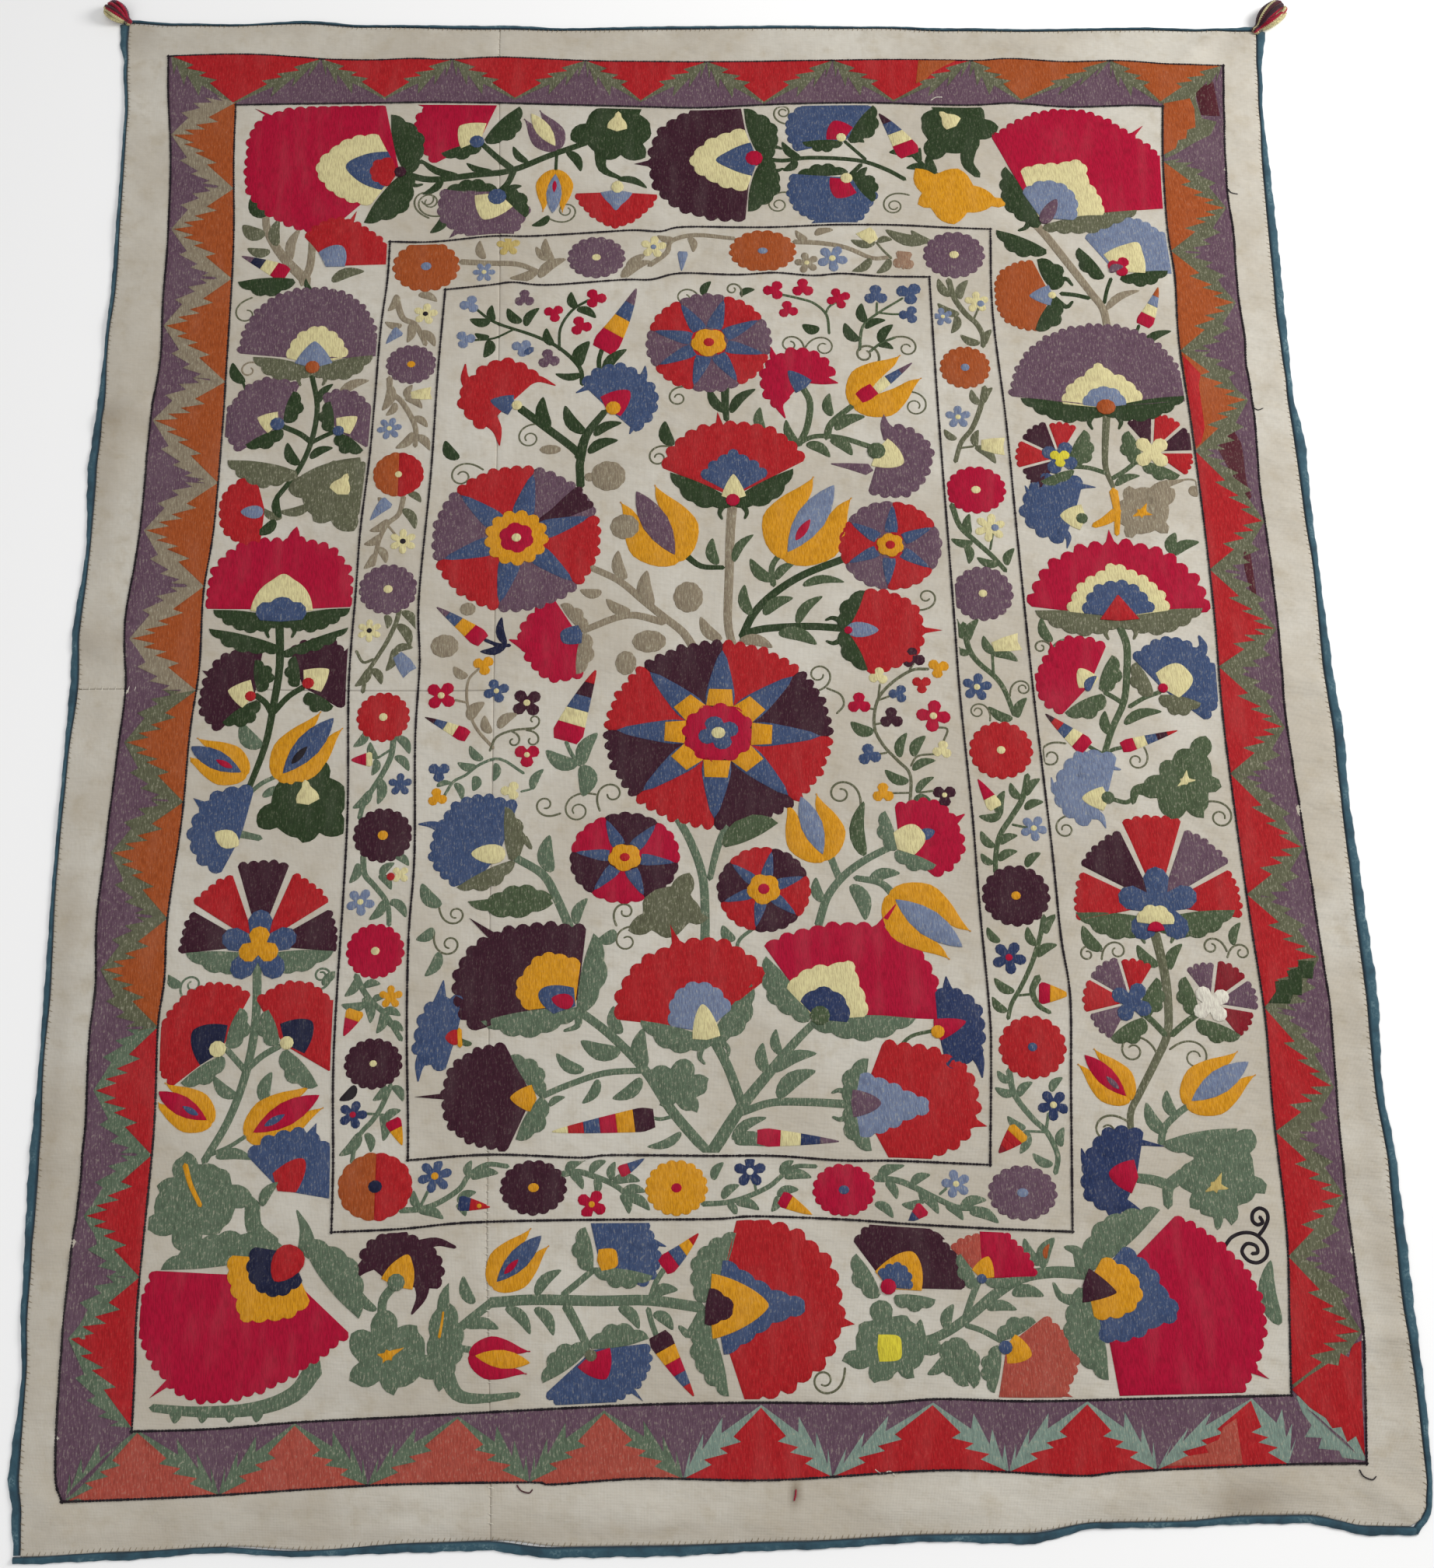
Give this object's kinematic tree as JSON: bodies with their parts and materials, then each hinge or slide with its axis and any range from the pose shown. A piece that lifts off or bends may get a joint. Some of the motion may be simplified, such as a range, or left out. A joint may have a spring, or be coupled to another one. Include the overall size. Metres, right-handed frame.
{
  "type": "embroidered textile",
  "caption": "Embroidered cotton textile laid flat, with floral borders, bound edges and a small yarn tassel at each top corner.",
  "frame": {"origin": "middle of the bounding box seen from above, on the surface that the cloth lies on", "axes": "+X towards the wide length's edge, +Y towards the tasselled edge, +Z out of the embroidered face"},
  "size_m": [1.2938, 1.6428, 0.0201],
  "materials": {
    "ground_cotton": "hand-woven undyed cotton, matt, a little stained",
    "embroidery_thread": "couched silk thread in many colours, soft sheen",
    "binding_cotton": "teal cotton, matt",
    "tassel_yarn": "crimson, orange and cream yarn"
  },
  "bodies": {
    "root": {"ground_right": "ground_cotton", "ground_left_upper": "ground_cotton", "ground_left_lower": "ground_cotton", "binding_top": "binding_cotton", "binding_bottom": "binding_cotton", "binding_left": "binding_cotton", "binding_right": "binding_cotton", "tassel_left": "tassel_yarn", "tassel_right": "tassel_yarn"}
  },
  "joints": []
}
